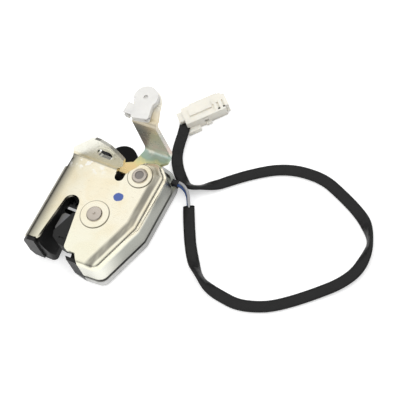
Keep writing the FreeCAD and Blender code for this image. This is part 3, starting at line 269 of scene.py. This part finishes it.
class Paint(Nodes):
    """A material and the nodes of its procedural finish."""

    def __init__(self, name, **shader):
        self.material = bpy.data.materials.new(name)
        self.material.use_nodes = True
        super().__init__(self.material.node_tree)
        self.tree.nodes.clear()
        self.shader = self.node("ShaderNodeBsdfPrincipled", {}, {
            socket.replace("_", " "): number for socket, number in shader.items()})
        self.node("ShaderNodeOutputMaterial", {}, {"Surface": Value(self, self.shader.outputs[0])})

    def here(self, stretch=(1, 1, 1)):
        """The place on the surface in metres, stretched for the textures."""
        spot = self.coordinates("Object")
        if stretch == (1, 1, 1):
            return spot
        return self.add("ShaderNodeVectorMath", {"operation": "MULTIPLY"}, [spot, stretch])

    def place(self, axis):
        """One coordinate of the place on the surface, in metres."""
        return self.part(self.here(), axis)

    def noise(self, per_metre, detail, stretch=(1, 1, 1), warp=0.0):
        return self.add("ShaderNodeTexNoise", {}, {
            "Vector": self.here(stretch), "Scale": per_metre, "Detail": detail,
            "Distortion": warp})

    def away(self, middle, reach=(1, 1)):
        """Distance in the XY plane from an upright line, squeezed by two reaches."""
        apart = self.add("ShaderNodeVectorMath", {"operation": "SUBTRACT"},
                         [self.here(), (*middle, 0)])
        flat = self.add("ShaderNodeVectorMath", {"operation": "MULTIPLY"},
                        [apart, (1 / reach[0], 1 / reach[1], 0)])
        return self.add("ShaderNodeVectorMath", {"operation": "LENGTH"}, [flat], out="Value")

    def set(self, socket, source):
        self.feed(self.shader.inputs[socket], source)

    def colour(self, source):
        """Set the base colour, and keep it for what is painted over it."""
        self.tone = source
        self.set("Base Color", source)

    def cover(self, mask, colour):
        """Paint a colour over the base colour where the mask is 1."""
        self.colour(self.mix(mask, self.tone, colour))

    def bump(self, height, depth, strength=1.0):
        """Relief whose full height is the depth in metres."""
        self.set("Normal", self.add("ShaderNodeBump", {}, {
            "Strength": strength, "Distance": depth, "Height": height}, out="Normal"))


def darker(colour, share):
    return tuple(part * share for part in colour)


def rolled(paint, roughness):
    """Give sheet steel its fine rolling grain and uneven gloss; the clouds come back."""
    cloud = paint.noise(70, 4, warp=0.6)
    speck = paint.noise(900, 2)
    paint.set("Roughness", cloud * 0.16 + speck * 0.1 + (roughness - 0.13))
    paint.bump(speck * 0.6 + paint.noise(2600, 2) * 0.4, 0.00002)
    return cloud


def zinc(name, bright, shade, roughness):
    """Bright or plated metal: cloudy colour and faint rub marks over the rolling grain."""
    paint = Paint(name, Metallic=1.0)
    cloud = rolled(paint, roughness)
    mark = paint.noise(260, 3, stretch=(1, 6, 1)).ramp(0.58, 0.72)
    paint.colour(paint.mix(cloud.ramp(0.35, 0.68), bright, shade))
    paint.cover(mark * 0.25, darker(shade, 0.72))
    return paint


def plastic(name, colour, roughness, grain, depth, **shader):
    """Moulded plastic: even colour with faint clouds, and a fine texture."""
    paint = Paint(name, **shader)
    cloud = paint.noise(120, 3)
    paint.colour(paint.mix(cloud, colour, darker(colour, 0.8)))
    paint.set("Roughness", cloud * 0.15 + (roughness - 0.07))
    paint.bump(paint.noise(grain, 3), depth)
    return paint


def dress(paint, *names):
    """Give CAD nodes a material."""
    for name in names:
        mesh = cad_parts[name].data
        mesh.materials.clear()
        mesh.materials.append(paint.material)


def new_object(name, data, paint=None):
    thing = bpy.data.objects.new(name, data)
    bpy.context.scene.collection.objects.link(thing)
    if paint:
        data.materials.append(paint.material)
    return thing


def finish_mesh(name, shape):
    """A mesh from what was built, which is then freed."""
    mesh = bpy.data.meshes.new(name)
    shape.to_mesh(mesh)
    shape.free()
    return mesh


def stand_for(thing, node):
    """Let a piece of the case replace a CAD node."""
    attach(thing, "case")
    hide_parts(node)


class LockFinish(bpy.types.PropertyGroup):
    plate_colour: FloatVectorProperty(
        name="Front plate", description="Colour of the front plate's passivated zinc",
        subtype="COLOR", default=(0.97, 0.92, 0.75), min=0, max=1)
    pan_colour: FloatVectorProperty(
        name="Back plate", description="Colour of the back plate's clear zinc",
        subtype="COLOR", default=(0.68, 0.68, 0.66), min=0, max=1)
    nylon_colour: FloatVectorProperty(
        name="Rod clip", description="Colour of the rod clip's nylon",
        subtype="COLOR", default=(0.80, 0.79, 0.76), min=0, max=1)
    ivory_colour: FloatVectorProperty(
        name="Connector", description="Colour of the connector's housing",
        subtype="COLOR", default=(0.90, 0.87, 0.78), min=0, max=1)
    dot_colour: FloatVectorProperty(
        name="Paint dot", description="Colour of the inspector's dot of paint",
        subtype="COLOR", default=(0.06, 0.11, 0.35), min=0, max=1)


class LockLead(bpy.types.PropertyGroup):
    sleeve_width: FloatProperty(
        name="Sleeve width", description="Width of the flattened sleeve",
        subtype="DISTANCE", unit="LENGTH", default=0.0070, min=0.004, max=0.01)
    sleeve_height: FloatProperty(
        name="Sleeve height", description="Thickness of the flattened sleeve",
        subtype="DISTANCE", unit="LENGTH", default=0.0029, min=0.002, max=0.006)
    wire_width: FloatProperty(
        name="Wire width", description="Diameter of each wire over its insulation",
        subtype="DISTANCE", unit="LENGTH", default=0.0017, min=0.001, max=0.003)


class StageOperator(bpy.types.Operator):
    """Set up the camera, the floor and the light"""
    bl_idname = "trunk_lock.stage"
    bl_label = "Stage"

    def execute(self, context):
        self.camera(context)
        self.floor()
        self.lamps()
        self.sky(context)
        context.scene.view_settings.view_transform = "Standard"
        return {"FINISHED"}

    def camera(self, context):
        camera = bpy.data.cameras.new("camera")
        camera.lens = CAMERA_LENS_MM
        camera.clip_end = CAMERA_REACH
        thing = new_object("camera", camera)
        back = (CAMERA_AT - CAMERA_TO).normalized()
        right = (CAMERA_RIGHT - CAMERA_RIGHT.dot(back) * back).normalized()
        turn = Matrix((right, back.cross(right), back)).transposed()
        thing.matrix_world = Matrix.Translation(CAMERA_AT) @ turn.to_4x4()
        context.scene.camera = thing

    def floor(self):
        """A pale floor that keeps shadows and shows as white."""
        shape = bmesh.new()
        bmesh.ops.create_grid(shape, x_segments=8, y_segments=8, size=FLOOR_HALF_SIDE)
        bmesh.ops.translate(shape, verts=shape.verts, vec=FLOOR_MIDDLE)
        paint = Paint("pale_floor", Roughness=0.9, Emission_Strength=1.0)
        paint.set("Base Color", FLOOR_COLOUR)
        camera, glass, gloss = (
            paint.add("ShaderNodeLightPath", {}, [], out=f"Is {kind} Ray")
            for kind in ("Camera", "Transmission", "Glossy"))
        seen = camera.most(glass).most(gloss * FLOOR_IN_GLOSS)
        paint.set("Emission Color", paint.mix(seen, grey(0), FLOOR_GLOW))
        new_object("floor", finish_mesh("floor", shape), paint)

    def lamps(self):
        for name, place, size, power in LAMPS:
            lamp = bpy.data.lights.new(name, "AREA")
            lamp.shape = "RECTANGLE"
            lamp.size, lamp.size_y = size
            lamp.energy = power
            thing = new_object(name, lamp)
            thing.visible_glossy = False
            thing.location = place
            thing.rotation_euler = (Vector(place) - CAMERA_TO).to_track_quat("Z", "Y").to_euler()

    def sky(self, context):
        """A white ceiling over a dark studio with a grey wall in front."""
        world = bpy.data.worlds.new("studio")
        world.use_nodes = True
        context.scene.world = world
        nodes = Nodes(world.node_tree)
        front, up = (nodes.part(nodes.coordinates("Generated"), axis) for axis in "YZ")
        shade = nodes.mix(front.ramp(-0.45, -0.90), SKY_ROUND, SKY_FRONT)
        shade = nodes.mix(up.ramp(0.20, 0.62), shade, SKY_TOP)
        nodes.feed(nodes.tree.nodes["Background"].inputs["Color"], shade)


class PressingsOperator(bpy.types.Operator):
    """Finish the front plate, the back plate and the release lever"""
    bl_idname = "trunk_lock.pressings"
    bl_label = "Pressings"

    def execute(self, context):
        finish = context.scene.trunk_lock_finish
        self.front_plate(finish)
        self.back_plate(finish)
        self.lever()
        return {"FINISHED"}

    def front_plate(self, finish):
        """Straw zinc in several tones, with painted reflections on the bent sides, the ear, the
        right flange and the bends, a painted highlight at the ear's root, painted shade at the
        flange's edge and round the rings, and the dot.
        """
        paint = zinc("straw_zinc", finish.plate_colour, STRAW, 0.24)
        cloud = paint.noise(45, 3) * 0.012
        self.tones(paint, cloud)
        self.bends(paint, cloud)
        self.marks(paint)
        self.dot(paint, finish.dot_colour)
        dress(paint, "front_plate")

    def tones(self, paint, cloud):
        """Tones of the lower end and the left arm, a painted reflection on the bent sides with the
        ear, and a painted dark reflection on the right flange.
        """
        x, y, z = (paint.place(axis) for axis in "XYZ")
        paint.cover((y + cloud).ramp(0.006, -0.020) * 0.6, LOWER_TONE)
        paint.cover((x + cloud).ramp(0.0125, -0.009) * 0.4, LEFT_TONE)
        # Painted reflection: the bent sides and the ear are made paler and silvery.
        bent = (z + cloud * 0.3).ramp(0.0245, 0.0205)
        ear = z.ramp(0.0278, 0.0300)
        paint.cover(bent.most(ear) * 0.85, SILVER_PAINTED_REFLECTION)
        # Painted dark reflection on the right flange.
        flange = (z + cloud * 0.2).ramp(0.0225, 0.0195)
        right = (y + cloud).ramp(-0.024, -0.004) * flange * x.ramp(0.030, 0.036)
        paint.cover(right * 0.8, RIGHT_DARK_PAINTED_REFLECTION)

    def bends(self, paint, cloud):
        """Painted dark reflections along the right bend, broken up by noise, and down the left
        roll.
        """
        x, y, z = (paint.place(axis) for axis in "XYZ")
        first, second, third = (
            x * over + y * up - distance for over, up, distance in RIGHT_OUTLINE)
        edge = first.most(second).most(third) + cloud * 0.1
        # Painted dark reflection on the right bend and the left roll.
        band = edge.ramp(-0.0072, -0.0050) * edge.ramp(-0.0014, -0.0026)
        below_ear = z.ramp(0.0275, 0.0265)
        bend = band * z.ramp(0.0225, 0.0245) * below_ear * (y.ramp(0.040, 0.034) * 0.9)
        bend = bend * paint.noise(160, 3, stretch=(1, 0.3, 1)).ramp(0.25, 0.60, 0.55, 1.0)
        roll = (x + cloud * 0.1).ramp(-0.0065, -0.0140) * z.ramp(0.0224, 0.0236) * below_ear
        paint.cover(bend.most(roll * 0.9), BEND_DARK_PAINTED_REFLECTION)

    def marks(self, paint):
        """A painted highlight at the ear's root, painted shade along the flange's lower edge, and
        a painted shade line round each ring.
        """
        x, y, z = (paint.place(axis) for axis in "XYZ")
        # Painted highlight at the ear's root, broken up by noise.
        root = y.ramp(0.0195, 0.0245) * z.ramp(0.0268, 0.0264) * x.ramp(0.012, 0.004)
        paint.cover(paint.noise(330, 4).ramp(0.52, 0.62) * root * 0.8, EAR_ROOT_PAINTED_HIGHLIGHT)
        # Painted shade along the flange's lower edge, where it meets the back plate.
        gap = z.ramp(FLANGE_EDGE + 0.0003, FLANGE_EDGE - 0.0003) * y.ramp(0.004, -0.004)
        paint.cover(gap * 0.9, GAP_PAINTED_SHADE)
        # Painted shade line round each pressed ring.
        for middle, radius in PLATE_RINGS:
            away = paint.away(middle)
            line = away.ramp(radius - 0.0005, radius - 0.0001)
            line = line * away.ramp(radius + 0.0004, radius + 0.0001)
            paint.cover(line * self.face(paint) * 0.75, RING_PAINTED_SHADE)

    def dot(self, paint, colour):
        """The inspector's dot, with a wavy edge; paint isn't metal."""
        rough = paint.away(DOT_AT, DOT_REACH) + paint.noise(420, 3) * 0.5
        dot = rough.ramp(1.34, 1.16) * self.face(paint)
        paint.cover(dot, colour)
        paint.set("Metallic", 1 - dot)

    def face(self, paint):
        """A mask of the plate's face and what stands over it."""
        return paint.place("Z").ramp(PLATE_FACE - 0.0005, PLATE_FACE - 0.0001)

    def back_plate(self, finish):
        """Clear zinc, darker towards the right and the top."""
        paint = zinc("clear_zinc", finish.pan_colour, PAN_SHADE, 0.36)
        right_darkening = paint.place("X").ramp(0.036, 0.043) * paint.place("Y").ramp(-0.015, 0.005)
        paint.cover(right_darkening * 0.7, PAN_RIGHT_DARKENING)
        dress(paint, "back_plate")

    def lever(self):
        """Iridescent zinc: orange on the foot, green at the bend with a painted dark reflection
        and a painted highlight there, grey-brown on the riser.
        """
        paint = Paint("iridescent_zinc", Metallic=0.7)
        rolled(paint, 0.30)
        wander = paint.noise(120, 3, warp=0.8) * 0.012 - 0.006
        reach = paint.place("Y") + paint.place("Z") - LEVER_START + wander
        # Colours along the lever, with a painted dark reflection and highlight at the lower bend.
        paint.colour(paint.add("ShaderNodeValToRGB", {"stops": LEVER_STOPS}, [reach / LEVER_RUN]))
        dress(paint, "release_lever")


class MechanismOperator(bpy.types.Operator):
    """Finish the moulding, the claw, the pawl, the switch, the pins and the springs"""
    bl_idname = "trunk_lock.mechanism"
    bl_label = "Mechanism"

    def execute(self, context):
        for name, colour, roughness, grain, depth, gloss, nodes in CASE_PLASTICS:
            dress(plastic(name, colour, roughness, grain, depth, Specular_IOR_Level=gloss), *nodes)
        for name, bright, shade, roughness, nodes in CASE_METALS:
            dress(zinc(name, bright, shade, roughness), *nodes)
        self.pins()
        return {"FINISHED"}

    def pins(self):
        """Rivet steel, with the pawl pin's head darker."""
        paint = zinc("rivet_steel", (0.62, 0.56, 0.49), (0.50, 0.45, 0.39), 0.3)
        paint.cover(paint.away(PAWL_PIN).ramp(0.0028, 0.0025) * 0.75, (0.16, 0.15, 0.15))
        dress(paint, "claw_pin", "pawl_pin")


class ClipOperator(bpy.types.Operator):
    """Finish the rod clip and its lock"""
    bl_idname = "trunk_lock.clip"
    bl_label = "Rod clip"

    def execute(self, context):
        colour = context.scene.trunk_lock_finish.nylon_colour
        dress(plastic("white_nylon", colour, 0.38, 900, 0.00001, Subsurface_Weight=0.35,
                      Subsurface_Radius=(1, 1, 0.9), Subsurface_Scale=0.002),
              "rod_clip", "rod_clip_lock")
        return {"FINISHED"}


class ConnectorOperator(bpy.types.Operator):
    """Make the connector's housing and finish its pieces"""
    bl_idname = "trunk_lock.connector"
    bl_label = "Connector"

    def execute(self, context):
        colour = context.scene.trunk_lock_finish.ivory_colour
        ivory = plastic("ivory_nylon", colour, 0.42, 1000, 0.00001, Subsurface_Weight=0.4,
                        Subsurface_Radius=(1, 0.9, 0.8), Subsurface_Scale=0.003)
        for middle in PLUG_PITS:
            # Painted shade inside the two pits.
            pit_shade = ivory.away(middle).ramp(0.0011, 0.0008) * ivory.place("Z").ramp(0.0090, 0.0082)
            ivory.cover(pit_shade, (0.02, 0.02, 0.015))
        self.housing(ivory)
        dress(ivory, "connector_retainer")
        dress(zinc("tinned_contact", (0.55, 0.55, 0.52), (0.45, 0.45, 0.42), 0.35),
              "connector_terminals")
        return {"FINISHED"}

    def block(self, low, high):
        """One block of the housing, as an object of its own."""
        shape = bmesh.new()
        bmesh.ops.create_cube(shape, size=1)
        for vertex in shape.verts:
            vertex.co = [((a + b) / 2 + side * (b - a)) * MILLIMETRE
                         for a, b, side in zip(low, high, vertex.co)]
        return new_object("plug_block", finish_mesh("plug_block", shape))

    def housing(self, paint):
        """Join the blocks, take out the cuts and round the edges."""
        first, *others = [self.block(*corners) for corners in PLUG_BLOCKS]
        cuts = [self.block(*corners) for corners in PLUG_CUTS]
        for operation, tools in (("UNION", others), ("DIFFERENCE", cuts)):
            for tool in tools:
                change = first.modifiers.new("shape", "BOOLEAN")
                change.operation = operation
                change.object = tool
        edge = first.modifiers.new("edge", "BEVEL")
        edge.width = PLUG_ROUNDING
        edge.segments = 2
        edge.limit_method = "ANGLE"
        bpy.context.view_layer.update()
        shaped = first.evaluated_get(bpy.context.evaluated_depsgraph_get())
        mesh = bpy.data.meshes.new_from_object(shaped)
        for tool in (first, *others, *cuts):
            bpy.data.objects.remove(tool)
        mesh.transform(PLUG_AT)
        for face in mesh.polygons:
            face.use_smooth = True
        mesh.set_sharp_from_angle(angle=math.radians(40))
        stand_for(new_object("plug_housing", mesh, paint), "connector_body")


def curve_route(name, points):
    """A smooth route with the given control points."""
    curve = bpy.data.curves.new(name, "CURVE")
    curve.dimensions = "3D"
    curve.resolution_u = 12
    spline = curve.splines.new("NURBS")
    spline.points.add(len(points) - 1)
    for point, place in zip(spline.points, points):
        point.co = (*place, 1)
    spline.order_u = 3
    spline.use_endpoint_u = True
    return new_object(name, curve)


def read_route(name, points, step):
    """Points an even step apart along the smooth route."""
    route = curve_route(name, points)
    bpy.context.view_layer.update()
    mesh = bpy.data.meshes.new_from_object(route)
    line = [vertex.co.copy() for vertex in mesh.vertices]
    bpy.data.meshes.remove(mesh)
    bpy.data.objects.remove(route)
    spaced = [line[0]]
    for place in line[1:]:
        while (place - spaced[-1]).length > step:
            spaced.append(spaced[-1] + (place - spaced[-1]).normalized() * step)
    return spaced


class LeadOperator(bpy.types.Operator):
    """Make the two wires and their sleeve, and finish the grommet"""
    bl_idname = "trunk_lock.lead"
    bl_label = "Lead"

    def execute(self, context):
        lead = context.scene.trunk_lock_lead
        self.sleeve(lead)
        for name, node, points, colour in WIRES:
            self.wire(name, node, points, lead.wire_width, colour)
        dress(plastic("grommet_rubber", (0.014, 0.014, 0.015), 0.6, 1500, 0.00003),
              "wire_grommet")
        return {"FINISHED"}

    def ring(self, lead, path, index):
        """The sleeve's section at a point of its path, lifted off the floor where it turns."""
        last = len(path) - 1
        place = path[index]
        along = (path[min(index + 1, last)] - path[max(index - 1, 0)]).normalized()
        across = Vector((along.y, -along.x, 0)).normalized()
        up = across.cross(along).normalized()
        turn = sum(math.radians(most) * math.exp(-((index / last - middle) / reach) ** 2)
                   for middle, reach, most in SLEEVE_EDGES)
        sine, cosine = math.sin(turn), math.cos(turn)
        ripple = sum(height * math.sin(index * step + start)
                     for height, step, start in SLEEVE_WAVES)
        half_width = lead.sleeve_width / 2 * (1 - 0.05 * ripple)
        half_height = lead.sleeve_height / 2 * (1 + ripple)
        lift = max(0.0, abs(half_width * sine) + half_height * cosine - place.z)
        section = []
        for side in range(SLEEVE_SIDES):
            angle = 2 * math.pi * side / SLEEVE_SIDES
            wide = half_width * math.copysign(abs(math.cos(angle)) ** 0.8, math.cos(angle))
            high = half_height * math.copysign(abs(math.sin(angle)) ** 0.9, math.sin(angle))
            section.append(place + across * (wide * cosine - high * sine)
                           + up * (wide * sine + high * cosine) + Vector((0, 0, lift)))
        return section

    def tube(self, lead, path):
        shape = bmesh.new()
        rings = [[shape.verts.new(spot) for spot in self.ring(lead, path, index)]
                 for index in range(len(path))]
        for before, after in zip(rings, rings[1:]):
            for side in range(SLEEVE_SIDES):
                near = (side + 1) % SLEEVE_SIDES
                shape.faces.new((before[side], before[near], after[near], after[side]))
        shape.faces.new(rings[0][::-1])
        shape.faces.new(rings[-1])
        bmesh.ops.recalc_face_normals(shape, faces=shape.faces)
        for face in shape.faces:
            face.smooth = True
        return finish_mesh("sleeve", shape)

    def vinyl(self):
        """Black vinyl with fine creases that shine."""
        paint = Paint("sleeve_vinyl", Specular_IOR_Level=0.28)
        crease = paint.noise(240, 4, warp=0.8)
        paint.colour(paint.mix(crease, grey(0.004), grey(0.011)))
        paint.set("Roughness", crease * 0.3 + 0.2)
        paint.bump(crease, 0.0007, 0.8)
        return paint

    def sleeve(self, lead):
        path = read_route("sleeve_route", SLEEVE_ROUTE, SLEEVE_STEP)
        sleeve = new_object("sleeve", self.tube(lead, path), self.vinyl())
        stand_for(sleeve, "wire_sleeve")
        length = sum((after - before).length for before, after in zip(path, path[1:]))

    def wire(self, name, node, points, width, colour):
        wire = curve_route(name, points)
        wire.data.bevel_depth = width / 2
        wire.data.bevel_resolution = 6
        wire.data.use_fill_caps = True
        wire.data.materials.append(plastic(name + "_skin", colour, 0.4, 1500, 0.00001).material)
        stand_for(wire, node)


# The connector comes before the lead.
OPERATORS = (StageOperator, ConnectorOperator, LeadOperator, PressingsOperator, MechanismOperator,
             ClipOperator)


class LockPanel(bpy.types.Panel):
    """The trunk lock's pieces and finishes"""
    bl_idname = "VIEW3D_PT_trunk_lock"
    bl_label = "Trunk lock"
    bl_space_type = "VIEW_3D"
    bl_region_type = "UI"
    bl_category = "Trunk lock"

    def draw(self, context):
        for group in (context.scene.trunk_lock_finish, context.scene.trunk_lock_lead):
            for name in group.__annotations__:
                self.layout.prop(group, name)
        for operator in OPERATORS:
            self.layout.operator(operator.bl_idname)


CLASSES = (LockFinish, LockLead, *OPERATORS, LockPanel)


def register():
    for item in CLASSES:
        bpy.utils.register_class(item)
    bpy.types.Scene.trunk_lock_finish = PointerProperty(type=LockFinish)
    bpy.types.Scene.trunk_lock_lead = PointerProperty(type=LockLead)


def unregister():
    del bpy.types.Scene.trunk_lock_lead
    del bpy.types.Scene.trunk_lock_finish
    for item in reversed(CLASSES):
        bpy.utils.unregister_class(item)


def main():
    register()
    for operator in OPERATORS:
        group, name = operator.bl_idname.split(".")
        getattr(getattr(bpy.ops, group), name)()


if __name__ == "__main__":
    main()
